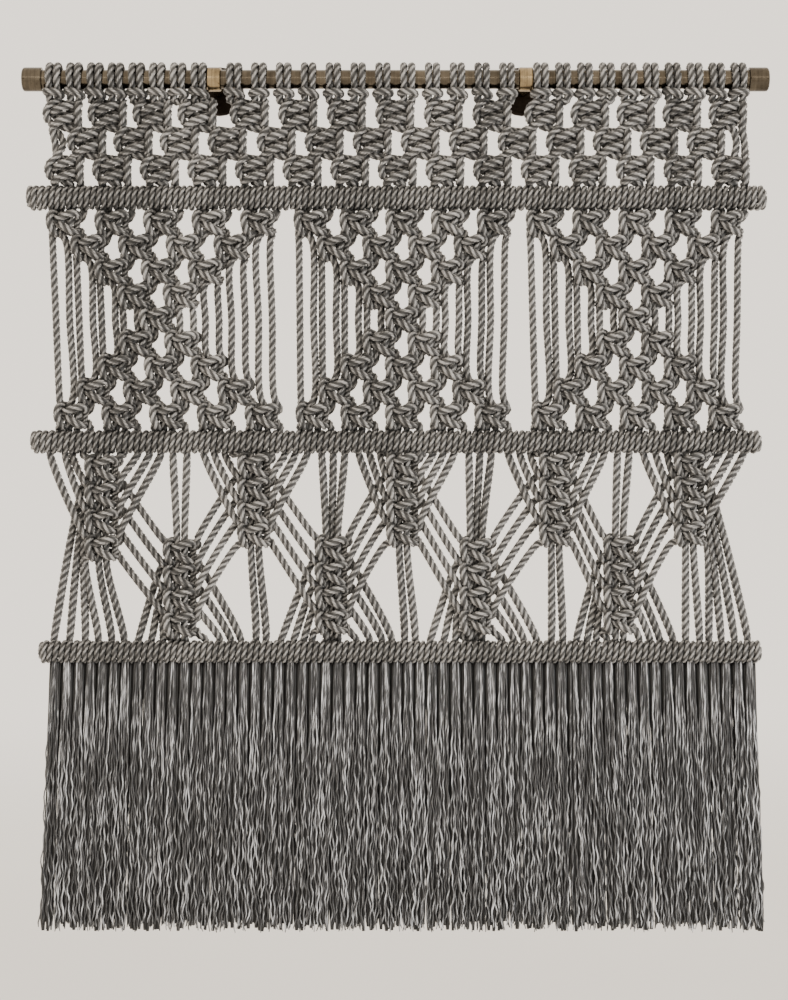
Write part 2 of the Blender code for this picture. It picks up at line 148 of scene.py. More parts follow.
# how far out from a cord's middle line its neighbours are felt, and how soon the painted shade is
# full
touch = {"reach": 6.2, "fade": 4.6}


def shadeWhereTheyTouch(ropes):
    # painted shade: 0 where a corner lies in the open and 1 where it faces a cord lying against it
    centres = np.concatenate([one["centres"] for one in ropes])
    tree = KDTree(len(centres))
    for index, centre in enumerate(centres):
        tree.insert(centre, index)
    tree.balance()
    reach, fade = touch["reach"] * mm, touch["fade"] * mm
    for one in ropes:
        middle = one["centres"][:, None, :]
        outward = one["corners"] - middle
        outward /= np.linalg.norm(outward, axis=2, keepdims=True)
        spots = (middle + outward * reach).reshape(-1, 3)
        near = np.array([tree.find(spot)[2] for spot in spots])
        one["hidden"] = np.clip((reach - near) / fade, 0.0, 1.0)


def tubeFaces(one):
    # quads along the tube and a cap at each end, and how far round and along their corners lie
    length = one["length"]
    rings, sides = one["corners"].shape[:2]
    ring, side = np.meshgrid(np.arange(rings - 1), np.arange(sides), indexing="ij")
    following = (side + 1) % sides
    quads = np.stack([ring * sides + side, ring * sides + following,
                      (ring + 1) * sides + following, (ring + 1) * sides + side], axis=-1)
    caps = [np.arange(sides)[::-1], (rings - 1) * sides + np.arange(sides)]
    around = np.stack([side, side + 1, side + 1, side], axis=-1) / sides
    along = np.stack([length[ring], length[ring], length[ring + 1], length[ring + 1]], axis=-1)
    atCaps = np.zeros(2 * sides)
    return {"faces": np.concatenate([quads.reshape(-1), *caps]),
            "sizes": np.concatenate([np.full((rings - 1) * sides, 4), np.full(2, sides)]),
            "around": np.concatenate([around.reshape(-1), atCaps]),
            "along": np.concatenate([along.reshape(-1), atCaps])}


def meshOfTubes(name, tubes, material):
    corners, faces, sizes, around, along = [], [], [], [], []
    start = 0
    for one in tubes:
        made = tubeFaces(one)
        corners.append(one["corners"].reshape(-1, 3))
        faces.append(made["faces"] + start)
        sizes.append(made["sizes"])
        around.append(made["around"])
        along.append(made["along"] * 100)       # centimetres along the cord
        start += len(corners[-1])
    corners, faces, sizes = (np.concatenate(part) for part in (corners, faces, sizes))
    mesh = bpy.data.meshes.new(name)
    mesh.vertices.add(len(corners))
    mesh.vertices.foreach_set("co", corners.ravel())
    mesh.loops.add(len(faces))
    mesh.loops.foreach_set("vertex_index", faces.astype(np.int32))
    mesh.polygons.add(len(sizes))
    mesh.polygons.foreach_set("loop_start", (np.cumsum(sizes) - sizes).astype(np.int32))
    mesh.update(calc_edges=True)
    unrolled = np.stack([np.concatenate(around), np.concatenate(along)], axis=1)
    mesh.uv_layers.new(name="alongCord").data.foreach_set("uv", unrolled.ravel())
    for label in ("tone", "raised", "hidden"):
        attribute = mesh.attributes.new(label, "FLOAT", "POINT")
        attribute.data.foreach_set("value", np.concatenate([one[label] for one in tubes]))
    mesh.shade_smooth()
    mesh.materials.append(material)
    piece = bpy.data.objects.new(name, mesh)
    bpy.context.scene.collection.objects.link(piece)
    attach(piece, "root")
    return piece


def newMaterial(name):
    material = bpy.data.materials.new(name)
    material.use_nodes = True
    tree = material.node_tree
    return material, tree, tree.nodes["Principled BSDF"]


def node(tree, kind, inputs=(), **settings):
    made = tree.nodes.new(kind)
    for key, value in settings.items():
        setattr(made, key, value)
    for key, value in dict(inputs).items():
        if isinstance(value, bpy.types.NodeSocket):
            tree.links.new(value, made.inputs[key])
        else:
            made.inputs[key].default_value = value
    return made


def ramp(tree, factor, stops):
    made = node(tree, "ShaderNodeValToRGB", {"Fac": factor})
    while len(made.color_ramp.elements) < len(stops):
        made.color_ramp.elements.new(1.0)
    for element, (position, colour) in zip(made.color_ramp.elements, stops):
        element.position = position
        element.color = (*colour, 1.0)
    return made.outputs["Color"]


def maths(tree, operation, first, second):
    return node(tree, "ShaderNodeMath", {0: first, 1: second}, operation=operation).outputs[0]


# Colours go from the deepest crease to the brightest fibre. The ply highlight and lift paint light
# on the plies' rounded backs and shade in their creases; streak marks the fibres, yarnDepth the
# yarns within a ply, steep slants the streaks, and shadow paints shade where cords lie together.
cordLook = {"crease": (0.007, 0.0065, 0.006), "shade": (0.028, 0.0265, 0.025),
            "fibre": (0.083, 0.080, 0.077), "bright": (0.39, 0.376, 0.362), "roughness": 0.6,
            "sheen": 0.08, "fibresAround": 22.0, "fibresAlong": 0.9, "steep": 0.30, "plies": 3.0,
            "ridge": 0.36, "paintedLift": 0.14, "streak": 0.62, "yarns": 12.0, "yarnDepth": 0.16,
            "shadow": 0.85}
yarnLook = {"crease": (0.004, 0.004, 0.004), "shade": (0.015, 0.015, 0.016),
            "fibre": (0.078, 0.078, 0.081), "bright": (0.70, 0.71, 0.74), "roughness": 0.5,
            "sheen": 0.08, "fibresAround": 5.0, "fibresAlong": 0.45, "steep": 0.0, "plies": 0.0,
            "ridge": 0.0, "paintedLift": 0.52, "streak": 0.46, "yarns": 1.0, "yarnDepth": 0.0,
            "shadow": 0.0}
# what the two have in common
fibreLook = {"toneShift": 37.0, "detail": 4.0, "roughness": 0.65, "patch": 0.5,
             "patchDetail": 2.0, "patchShare": 0.16, "toneShare": 0.06, "ridgePower": 0.9,
             "stops": (0.32, 0.49, 0.71, 0.95), "bump": 0.55, "bumpDepth": 0.0006,
             "sheenRoughness": 0.4}


def makeCordMaterial(name, look):
    # twisted fibres: streaks lying steeper than the plies, with painted shade between them, a
    # painted highlight on top and painted shade where cords touch
    material, tree, shader = newMaterial(name)
    uv = node(tree, "ShaderNodeUVMap", uv_map="alongCord").outputs["UV"]
    tone, raised, hidden = (
        node(tree, "ShaderNodeAttribute", attribute_name=label).outputs["Fac"]
        for label in ("tone", "raised", "hidden"))
    spread = node(tree, "ShaderNodeSeparateXYZ", {"Vector": uv})
    around, length = spread.outputs["X"], spread.outputs["Y"]
    shift = node(tree, "ShaderNodeCombineXYZ", {
        "X": maths(tree, "MULTIPLY", length, look["steep"]),
        "Z": maths(tree, "MULTIPLY", tone, fibreLook["toneShift"])})
    moved = node(tree, "ShaderNodeVectorMath", {0: uv, 1: shift.outputs[0]},
                 operation="ADD").outputs[0]
    stretched = node(tree, "ShaderNodeVectorMath",
                     {0: moved, 1: (look["fibresAround"], look["fibresAlong"], 1.0)},
                     operation="MULTIPLY").outputs[0]
    fibres = node(tree, "ShaderNodeTexNoise", {
        "Vector": stretched, "Scale": 1.0, "Detail": fibreLook["detail"],
        "Roughness": fibreLook["roughness"]}).outputs["Fac"]
    patches = node(tree, "ShaderNodeTexNoise", {
        "Vector": moved, "Scale": fibreLook["patch"],
        "Detail": fibreLook["patchDetail"]}).outputs["Fac"]
    # a painted highlight along the middle of each ply, fading to painted shade at its creases
    ridge = maths(tree, "PINGPONG", maths(tree, "MULTIPLY", around, look["plies"]), 0.5)
    ridge = maths(tree, "POWER", maths(tree, "MULTIPLY", ridge, 2.0), fibreLook["ridgePower"])
    across = node(tree, "ShaderNodeSeparateXYZ", {"Vector": moved}).outputs["X"]
    furrows = maths(tree, "PINGPONG", maths(tree, "MULTIPLY", across, look["yarns"]), 0.5)
    light = maths(tree, "MULTIPLY", ridge, look["ridge"])
    # the tone is colour that differs at random, and for the fringe's middle yarns painted shade
    for part, share in ((raised, look["paintedLift"]), (fibres, look["streak"]),
                        (patches, fibreLook["patchShare"]), (furrows, 2 * look["yarnDepth"]),
                        (tone, fibreLook["toneShare"])):
        light = maths(tree, "ADD", light, maths(tree, "MULTIPLY", part, share))
    # the furrows add half their depth on the whole, so the stops move up by as much
    stops = [min(1.0, stop + 0.5 * look["yarnDepth"]) for stop in fibreLook["stops"]]
    colours = [look[step] for step in ("crease", "shade", "fibre", "bright")]
    # painted shade: the colour goes towards the crease colour where a cord lies against another
    shaded = node(tree, "ShaderNodeMix", {0: maths(tree, "MULTIPLY", hidden, look["shadow"]),
                                          6: ramp(tree, light, list(zip(stops, colours))),
                                          7: (*look["crease"], 1.0)},
                  data_type="RGBA").outputs[2]
    tree.links.new(shaded, shader.inputs["Base Color"])
    bump = node(tree, "ShaderNodeBump", {"Height": fibres, "Strength": fibreLook["bump"],
                                         "Distance": fibreLook["bumpDepth"]})
    tree.links.new(bump.outputs["Normal"], shader.inputs["Normal"])
    shader.inputs["Roughness"].default_value = look["roughness"]
    shader.inputs["Sheen Weight"].default_value = look["sheen"]
    shader.inputs["Sheen Roughness"].default_value = fibreLook["sheenRoughness"]
    return material


# pieces: what each finish is for. brush: how close its turning lines lie along x, y and z
brassLook = {
    "tube_brass": {"pieces": ("rod", "end_cap"), "brush": (900.0, 6.0, 6.0),
                   "deep": (0.030, 0.024, 0.017), "face": (0.080, 0.066, 0.048),
                   "worn": (0.17, 0.142, 0.105), "roughness": (0.14, 0.26)},
    "collar_brass": {"pieces": ("bracket",), "brush": (700.0, 6.0, 6.0),
                     "deep": (0.085, 0.062, 0.035), "face": (0.25, 0.185, 0.105),
                     "worn": (0.42, 0.32, 0.185), "roughness": (0.16, 0.30)},
    "plate_bronze": {"pieces": ("wall_plate",), "brush": (6.0, 500.0, 6.0),
                     "deep": (0.008, 0.006, 0.005), "face": (0.024, 0.018, 0.014),
                     "worn": (0.06, 0.045, 0.032), "roughness": (0.35, 0.6)}}
# what the three have in common
patina = {"cloud": 38.0, "cloudDetail": 6.0, "cloudRoughness": 0.62, "cloudShare": 0.7,
          "brushDetail": 3.0, "brushShare": 0.3, "pit": 420.0, "pitDetail": 2.0,
          "pitColour": (0.35, 0.32, 0.28), "pitStops": (0.27, 0.36),
          "stops": (0.30, 0.50, 0.74), "dullFrom": 0.3, "shinyTo": 0.75,
          "roundFrom": 0.95, "bump": 0.08, "bumpDepth": 0.0002}


def normalRoundRod(tree, spot):
    # the rod's own faces are shaded round its axis, and every other face as it lies
    facing = node(tree, "ShaderNodeNewGeometry").outputs["Normal"]
    fromAxis = node(tree, "ShaderNodeVectorMath", {0: spot, 1: (0.0, rodToWall * mm, 0.0)},
                    operation="ADD").outputs[0]
    fromAxis = node(tree, "ShaderNodeVectorMath", {0: fromAxis, 1: (0.0, 1.0, 1.0)},
                    operation="MULTIPLY").outputs[0]
    outward = node(tree, "ShaderNodeVectorMath", {0: fromAxis}, operation="NORMALIZE").outputs[0]
    agree = node(tree, "ShaderNodeVectorMath", {0: facing, 1: outward},
                 operation="DOT_PRODUCT").outputs["Value"]
    onRod = maths(tree, "GREATER_THAN", agree, patina["roundFrom"])
    return node(tree, "ShaderNodeMix", {0: onRod, 4: facing, 5: outward},
                data_type="VECTOR").outputs[1]


def makeBrassMaterial(name, look):
    # aged metal: patina in soft clouds, fine turning lines round the piece, small dark pits
    material, tree, shader = newMaterial(name)
    spot = node(tree, "ShaderNodeTexCoord").outputs["Object"]
    clouds = node(tree, "ShaderNodeTexNoise", {
        "Vector": spot, "Scale": patina["cloud"], "Detail": patina["cloudDetail"],
        "Roughness": patina["cloudRoughness"]}).outputs["Fac"]
    lines = node(tree, "ShaderNodeVectorMath", {0: spot, 1: look["brush"]}, operation="MULTIPLY")
    brushing = node(tree, "ShaderNodeTexNoise", {
        "Vector": lines.outputs[0], "Scale": 1.0, "Detail": patina["brushDetail"]}).outputs["Fac"]
    pits = node(tree, "ShaderNodeTexNoise", {
        "Vector": spot, "Scale": patina["pit"], "Detail": patina["pitDetail"]}).outputs["Fac"]
    mixed = maths(tree, "ADD", maths(tree, "MULTIPLY", clouds, patina["cloudShare"]),
                  maths(tree, "MULTIPLY", brushing, patina["brushShare"]))
    colours = (look["deep"], look["face"], look["worn"])
    colour = ramp(tree, mixed, list(zip(patina["stops"], colours)))
    dark = ramp(tree, pits, list(zip(patina["pitStops"], (patina["pitColour"], (1.0, 1.0, 1.0)))))
    tinted = node(tree, "ShaderNodeMix", {0: 1.0, 6: colour, 7: dark}, data_type="RGBA",
                  blend_type="MULTIPLY").outputs[2]
    tree.links.new(tinted, shader.inputs["Base Color"])
    shiny, dull = look["roughness"]
    rough = node(tree, "ShaderNodeMapRange", {
        "Value": mixed, "From Min": patina["dullFrom"], "From Max": patina["shinyTo"],
        "To Min": dull, "To Max": shiny})
    tree.links.new(rough.outputs[0], shader.inputs["Roughness"])
    bump = node(tree, "ShaderNodeBump", {
        "Height": brushing, "Strength": patina["bump"], "Distance": patina["bumpDepth"],
        "Normal": normalRoundRod(tree, spot)})
    tree.links.new(bump.outputs["Normal"], shader.inputs["Normal"])
    shader.inputs["Metallic"].default_value = 1.0
    return material


# Each knot lists its cords' ways from top to foot, as x, z and y from the knot's middle.
# Cords swell where a knot presses them flat, so each way has its own radius, and a fourth
# number is the radius where a cord is squeezed.
squareKnot = [
    # the left cord crosses in front to the right, turns and crosses back
    {"radius": 4.2, "way": [
        (-8.5, 11.8, 2.5), (-11.6, 8.4, 1.0), (-11.2, 5.0, -2.6), (-6.5, 4.6, -6.6),
        (0.0, 6.2, -8.6), (6.0, 8.6, -8.8), (11.4, 9.4, -6.0), (13.8, 6.6, -0.8),
        (12.2, 1.8, 3.8, 3.7), (11.8, -3.2, 4.6, 3.7), (12.4, -7.4, 1.8, 3.7),
        (12.2, -9.8, -3.2, 3.9), (9.4, -9.2, -7.4), (5.4, -7.2, -9.2), (0.6, -4.0, -9.0),
        (-4.0, -1.4, -6.8), (-9.0, -0.8, -3.2),
        (-12.2, -4.0, 0.2), (-12.4, -8.4, 2.2), (-13.4, -12.0, 2.0)]},
    {"radius": 4.1, "way": [(-3.9, 8.0, 0.0), (-2.7, 0.0, 0.6), (-3.9, -8.0, 0.0)]},
    {"radius": 3.9, "way": [(4.4, 8.0, 0.0), (7.4, 4.2, -1.2), (5.0, -1.6, -2.0),
                            (4.4, -8.0, 0.0)]},
    # the right cord passes behind, stands up in front of both ends and passes behind again
    {"radius": 4.2, "way": [
        (18.9, 11.2, 1.0), (16.8, 6.8, 4.0), (12.4, 4.4, 7.2), (6.8, 4.0, 9.2), (1.0, 5.6, 9.8),
        (-4.6, 9.4, 6.6), (-8.6, 11.4, 0.8), (-12.2, 9.2, -5.8), (-13.4, 4.4, -9.6),
        (-13.0, -1.2, -10.6), (-11.4, -6.6, -9.0), (-9.4, -10.2, -4.0), (-6.6, -10.6, 2.6),
        (-2.0, -8.0, 8.6), (4.6, -4.8, 10.0), (10.2, -4.0, 9.4), (14.8, -6.2, 7.2),
        (17.6, -10.6, 4.2)]}]
cordsInKnot = len(squareKnot)


def through(knot, slotIndex, x, z):
    cord = knot[slotIndex]
    return [place(x + dx, z + dz, dy, thin[0] if thin else cord["radius"])
            for dx, dz, dy, *thin in cord["way"]]


# the hitches stand in three groups, with a collar in each gap between them
hitchGroups = [{"count": 8, "first": -340.7, "last": -196.0},
               {"count": 12, "first": -160.8, "last": 111.1},
               {"count": 10, "first": 145.0, "last": 342.0}]
# each rope lies double over the rod and holds its own tails under a loop in front
hitch = {"lap": 13.3, "apart": 3.95, "tilt": (-2.52, 0.84), "tiltAt": 7,
         "angles": (0, 25, 60, 95, 130, 165, 198, 225),
         "tail": [(4.4, -21.5, -1.8, 4.2), (3.9, -15.5, -4.6, 4.2), (3.7, -8.6, -10.2, 3.6)],
         "loop": [(5.6, -11.6, 7.4, 3.6), (7.1, -14.6, 1.6, 3.6), (7.6, -15.0, -4.8, 3.7),
                  (6.3, -14.8, -10.6, 3.9), (3.0, -14.6, -13.2, 4.0), (0.0, -14.6, -13.6, 4.0)]}
hitches = [x for group in hitchGroups
           for x in spreadEvenly(group["first"], group["last"], group["count"])]


def hitchPath(x, tilt):
    # up behind the front loop, over the rod, down its back, forward and across as the loop
    sides = []
    for side in (-1, 1):
        path = [place(x + side * dx, z, y, radius) for dx, z, y, radius in hitch["tail"]]
        for angle in hitch["angles"]:
            turn = math.radians(angle)
            path.append(place(x + side * hitch["apart"], hitch["lap"] * math.sin(turn),
                              -hitch["lap"] * math.cos(turn)))
        for dx, z, y, radius in hitch["loop"]:
            path.append(place(x + side * dx, z + side * tilt * dx / hitch["tiltAt"], y, radius))
        sides.append(path)
    return sides[0] + sides[1][-2::-1]      # both loops end in the same middle point


header = {"rows": [{"z": -35.5, "evened": 0.55}, {"z": -63.3, "evened": 0.80},
                   {"z": -91.0, "evened": 1.0}], "first": -326.5, "last": 337.0}
headerKnot = [
    # the left cord winds twice round the middle, rising to the right in front
    {"radius": 4.5, "way": [
        (-11.0, 12.6, 2.0), (-6.0, 12.4, 6.5), (0.0, 12.0, 7.6), (4.6, 10.8, 4.2),
        (6.2, 9.4, -1.5), (3.6, 8.4, -6.6), (-3.0, 6.2, -8.9), (-9.5, 3.8, -8.2),
        (-14.2, 1.6, -3.6), (-15.0, 0.4, 1.8), (-11.0, 0.2, 6.4), (-3.0, 0.4, 8.4),
        (3.6, 0.2, 6.4), (7.0, -1.6, 0.5), (4.4, -4.0, -6.4), (-3.0, -6.6, -8.9),
        (-9.5, -9.4, -8.0), (-13.6, -12.0, -4.0)]},
    # the second one runs down the left side in front of the winding's turns
    {"radius": 4.0, "way": [
        (-12.6, 10.6, -6.5), (-17.6, 6.2, -8.2), (-19.6, 0.6, -7.8), (-18.6, -5.2, -5.0),
        (-14.5, -9.8, -0.5)]},
    # the third fills the middle and comes out below as a last band
    {"radius": 4.4, "way": [(2.0, 9.6, 0.5), (8.2, 5.4, 2.6), (-9.9, -3.3, 2.0),
                            (7.0, -6.4, 1.8), (-6.0, -10.2, -0.6), (1.5, -13.6, -1.6)]},
    # the right one runs straight down beside them
    {"radius": 4.7, "way": [(12.2, 12.6, -1.5), (12.1, 6.5, -4.6), (11.8, 0.0, -5.2),
                            (11.8, -6.5, -4.6), (11.5, -12.6, -1.5)]}]
# where each pair of cords hangs once the rows have evened them out
headerPlaces = spreadEvenly(header["first"], header["last"], len(hitches) // 2)
homes = [middle + side * rope["slot"] for middle in headerPlaces for side in (-1, 1)]


def headerCord(cord):
    pair, strand = cord // 2, cord % 2
    path = []
    for row, level in enumerate(header["rows"]):
        partner = pair + 1 if (pair + row) % 2 == 0 else pair - 1
        own = between(hitches[pair], homes[pair], level["evened"])
        if not 0 <= partner < len(hitches):
            path.append(place(own + (strand - 0.5) * rope["slot"], level["z"]))
            continue
        other = between(hitches[partner], homes[partner], level["evened"])
        middle = (own + other) / 2
        slotIndex = strand + (2 if pair > partner else 0)
        path += through(headerKnot, slotIndex, middle, level["z"])
    return path


# leave and arrive: how far beside its lane each cord goes out of one bar and into the next
bars = [{"z": -118.5, "left": -367.5, "right": 369.5, "diameter": 26.0, "first": -345.0,
         "last": 348.0},
        {"z": -362.0, "left": -363.5, "right": 364.5, "diameter": 24.5, "first": -342.0,
         "last": 350.0, "leave": [
             -3.8, -0.5, -5.0, -6.0, -1.3, -5.3, 0.7, 2.2, 2.2, 2.0, 1.9, 4.3, 9.0, 8.0, 7.0,
             3.0, 9.8, 6.0, 7.4, 9.0, 7.3, 7.5, 10.0, 9.8, 9.7, 12.0, 11.0, 10.0, 6.0, 5.5,
             1.6, 7.0, 4.6, 2.9, 1.9, 5.0, 4.2, 4.0, 8.9, 8.8, 7.8, 3.0, 5.0, 1.3, 5.0,
             0.9, 1.6, 0.0, 1.3, 1.2, 3.6, 4.3, 4.2, 0.0, -1.9, -5.6, 2.0, -2.2, -2.4, -1.6]},
        {"z": -571.5, "left": -355.5, "right": 364.5, "diameter": 24.0, "first": -341.0,
         "last": 351.0, "arrive": [
             -1.0, 3.0, 7.0, 8.5, 10.0, 10.8, 13.0, 14.5, 14.4, 12.7, 6.0, 2.0, 10.6, 13.0, 12.0,
             10.3, 13.5, 12.0, 15.2, 16.2, 14.5, 11.0, 13.5, 7.7, 2.0, 8.6, 10.1, 10.8, 9.1, 9.8,
             8.8, 12.2, 14.0, 13.8, 12.5, 5.0, -0.7, -6.5, 2.1, 2.0, 0.3, 1.5, 4.4, 4.0, 5.8,
             4.9, 2.3, 2.1, -2.5, -6.0, -1.6, -2.5, -4.3, -2.7, -2.1, 0.3, -2.2, -1.5, 0.0,
             1.5]}]
# Every cord comes down behind a bar, winds round the core and leaves behind it again.
# above: share of the step aside, how high, how far back and how thick it still is
barWinding = {"lean": 0.8, "turns": (-75, 435, 30), "behind": 4.0, "reach": 12.0, "aside": 0.7,
              "above": ((0.0, 1.25, 1.2, "radius"), (0.1, 0.7, 1.0, "tightRadius"),
                        (0.55, 0.0, 0.8, "tightRadius"), (1.0, -0.65, 0.4, "tightRadius"))}
barTip = {"stride": 30, "least": 6, "spiral": 17, "closeOver": 21, "bulge": 2.2}
barCore = {"radius": 1.6, "inset": 4, "points": 8, "step": 6.0, "lay": 40.0, "phase": 0.4,
           "tone": -0.5, "endPhase": 1.0, "endTone": 0.2}


def lanes(bar):
    return spreadEvenly(bar["first"], bar["last"], cordCount)


def windingOf(bar):
    # the radius of the winding's middle line and the step from one turn to the next
    return (bar["diameter"] / 2 - rope["tightRadius"],
            (bar["last"] - bar["first"]) / (cordCount - 1) / 2)


def sideStep(bar, end, lane, neighbour):
    # where a cord enters or leaves a bar: beside its lane as listed, or towards its next knot
    x = lanes(bar)[lane]
    if end in bar:
        return x + bar[end][lane]
    if neighbour is None:
        return x
    reach = barWinding["reach"]
    return x + max(-reach, min(reach, neighbour[0] / mm - x))


def barCord(bar, lane, above, below):
    x = lanes(bar)[lane]
    radius, pitch = windingOf(bar)
    start, stop, stride = barWinding["turns"]
    arrive = sideStep(bar, "arrive", lane, above)
    leave = sideStep(bar, "leave", lane, below)
    aside = barWinding["aside"] * pitch
    top = [place(between(arrive, x - aside, share), bar["z"] + radius * up,
                 barWinding["behind"] * back, rope[size])
           for share, up, back, size in barWinding["above"]]
    turns = []
    for angle in range(start, stop + 1, stride):
        turn = math.radians(angle)
        along = x + pitch * (angle - 180) / 360 + barWinding["lean"] * math.sin(turn)
        turns.append(place(along, bar["z"] + radius * math.sin(turn), -radius * math.cos(turn),
                           rope["tightRadius"]))
    foot = [place(between(leave, x + aside, share), bar["z"] - radius * up,
                  barWinding["behind"] * back, rope[size])
            for share, up, back, size in barWinding["above"][::-1]]
    return top + turns + foot


def barEnd(bar, side):
    # the winding goes on past the outer cords and closes over the core's end in a spiral
    tight = rope["tightRadius"]
    radius, pitch = windingOf(bar)
    first = (bar["first"] if side < 0 else bar["last"]) + side * pitch
    tip = bar["left"] + tight if side < 0 else bar["right"] - tight
    pointsToTip = 360 / barTip["stride"] * abs(tip - first) / pitch
    wound = max(int(pointsToTip), barTip["least"])
    path = []
    for index in range(wound + barTip["spiral"]):
        angle = math.radians(180 + side * barTip["stride"] * index)
        closing = max(0.0, (index - wound) / barTip["closeOver"])
        reach = radius * (1 - closing)
        x = between(first, tip, min(1.0, index / wound)) + side * barTip["bulge"] * closing
        path.append(place(x, bar["z"] + reach * math.sin(angle), -reach * math.cos(angle), tight))
    return path


def buildBarCores(material):
    cores = []
    for bar in bars:
        inner = bar["diameter"] / 2 - barCore["radius"] * rope["tightRadius"]
        ends = (bar["left"] + barCore["inset"], bar["right"] - barCore["inset"])
        path = [place(x, bar["z"], 0.0, inner) for x in spreadEvenly(*ends, barCore["points"])]
        cores.append(tube(path, plied, barCore["step"], barCore["lay"], barCore["phase"],
                          barCore["tone"]))
        for side in (-1, 1):
            cores.append(tube(barEnd(bar, side), plied, rope["step"], rope["lay"],
                              barCore["endPhase"], barCore["endTone"]))
    return meshOfTubes("bar_cores_and_ends", cores, material)


# Three hourglasses of square knots, whose outer cords hang free at the waist.
# spread: how far the inner one of two free cords hangs aside. clear: what a knot takes up
hourglasses = [{"top": -234.0, "waist": -238.5, "foot": -228.0, "topPitch": 48.3,
                "footPitch": 47.5},
               {"top": 6.7, "waist": 6.2, "foot": 6.5, "topPitch": 45.5, "footPitch": 44.4},
               {"top": 238.5, "waist": 238.3, "foot": 239.8, "topPitch": 45.9,
                "footPitch": 44.0}]
hourglass = {"waistPitch": 45.0, "cords": 20, "top": -144.0, "foot": -336.5,
             "rowKnots": [5, 4, 3, 2, 1, 2, 3, 4, 5], "spread": 5.5,
             "clear": 10, "freeShares": (0.05, 0.5, 0.95)}
lastRow = len(hourglass["rowKnots"]) - 1
tyingSlots = (0, cordsInKnot - 1)       # a square knot's outer cords, which tie it


def rowZ(row):
    return between(hourglass["top"], hourglass["foot"], row / lastRow)


def rowKnots(glass, row):
    waist = lastRow // 2
    share = abs(row - waist) / waist
    end = "top" if row < waist else "foot"
    centre = between(glass["waist"], glass[end], share)
    step = between(hourglass["waistPitch"], glass[end + "Pitch"], share)
    count = hourglass["rowKnots"][row]
    return [centre + step * (knot - (count - 1) / 2) for knot in range(count)]


def knotOf(glass, own, row):
    # the middle of the knot that holds a cord in a row and its slot there, or None
    held = cordsInKnot * hourglass["rowKnots"][row]
    taken = own - (hourglass["cords"] - held) // 2
    if not 0 <= taken < held:
        return None
    return rowKnots(glass, row)[taken // cordsInKnot], taken % cordsInKnot


def freeStretch(glass, own, last):
    # from the last row that holds a cord down to the one that takes it up again
    again = lastRow - last
    ends = []
    for middle, slotIndex in (knotOf(glass, own, last), knotOf(glass, own, again)):
        ends.append(middle + rope["slot"] * (slotIndex - (cordsInKnot - 1) / 2))
    inward = 1 if own < hourglass["cords"] / 2 else -1
    innerOfTwo = (own % 2 == 1) == (inward == 1)
    shift = hourglass["spread"] * inward if innerOfTwo else 0
    top, foot = rowZ(last) - hourglass["clear"], rowZ(again) + hourglass["clear"]
    return [place(between(*ends, share) + shift, between(top, foot, share))
            for share in hourglass["freeShares"]]


def hourglassCord(cord):
    glass = hourglasses[cord // hourglass["cords"]]
    own = cord % hourglass["cords"]
    path, free = [], False
    for row in range(lastRow + 1):
        held = knotOf(glass, own, row)
        if held:
            middle, slotIndex = held
            way = through(squareKnot, slotIndex, middle, rowZ(row))
            path += way[1:] if free and slotIndex in tyingSlots else way
            free = False
        elif not free:
            if knotOf(glass, own, row - 1)[1] in tyingSlots:
                path.pop()      # a tying cord goes straight from its knot
            path += freeStretch(glass, own, row - 1)
            free = True
    return path


# first: the leftmost of a sinnet's cords, counted along the second bar
upperSinnets = [{"x": -292.5, "top": -375.5, "foot": -481.0, "first": 0, "fillers": 2},
                {"x": -140.5, "top": -374.5, "foot": -466.0, "first": 12, "fillers": 2},
                {"x": 7.5, "top": -374.0, "foot": -465.0, "first": 25, "fillers": 2},
                {"x": 159.5, "top": -373.5, "foot": -465.0, "first": 38, "fillers": 2},
                {"x": 293.5, "top": -373.5, "foot": -464.0, "first": 50, "fillers": 2}]
lowerSinnets = [{"x": -214.5, "top": -460.0, "foot": -556.0, "first": 6, "fillers": 2},
                {"x": -63.5, "top": -457.0, "foot": -553.0, "first": 18, "fillers": 3},
                {"x": 80.5, "top": -459.0, "foot": -553.0, "first": 31, "fillers": 3},
                {"x": 223.5, "top": -456.0, "foot": -553.0, "first": 44, "fillers": 2}]
sinnetKnots = 4
sinnetWay = {"enter": (16.5, 12.0, -5.2), "leave": (17.5, -10.5, 4.2), "above": 4, "below": 3,
             "fillers": {2: ((-3.9, 0.0), (3.9, 0.0)),
                         3: ((-6.0, -0.6), (0.0, 2.2), (6.0, -0.6))}}


def knotLevels(sinnet):
    step = (sinnet["top"] - sinnet["foot"]) / sinnetKnots
    return [sinnet["top"] - step * (knot + 0.5) for knot in range(sinnetKnots)]


def tyingCord(sinnet, index, side):
    # one side of one square knot, entered from outside above and left outside below, behind
    z = knotLevels(sinnet)[index]
    slotIndex = tyingSlots[0] if side < 0 else tyingSlots[1]
    enter, leave = (place(sinnet["x"] + side * dx, z + dz, dy)
                    for dx, dz, dy in (sinnetWay["enter"], sinnetWay["leave"]))
    return [enter, *through(squareKnot, slotIndex, sinnet["x"], z)[1:-1], leave]


def fillerCord(sinnet, index):
    dx, dy = sinnetWay["fillers"][sinnet["fillers"]][index]
    heights = (sinnet["top"] + sinnetWay["above"], (sinnet["top"] + sinnet["foot"]) / 2,
               sinnet["foot"] - sinnetWay["below"])
    return [place(sinnet["x"] + dx, z, dy) for z in heights]


def laneFromOutside(sinnet, index, side):
    # a sinnet's lanes counted in from its left or its right edge
    rightmost = 2 * sinnetKnots + sinnet["fillers"] - 1
    return sinnet["first"] + (index if side < 0 else rightmost - index)


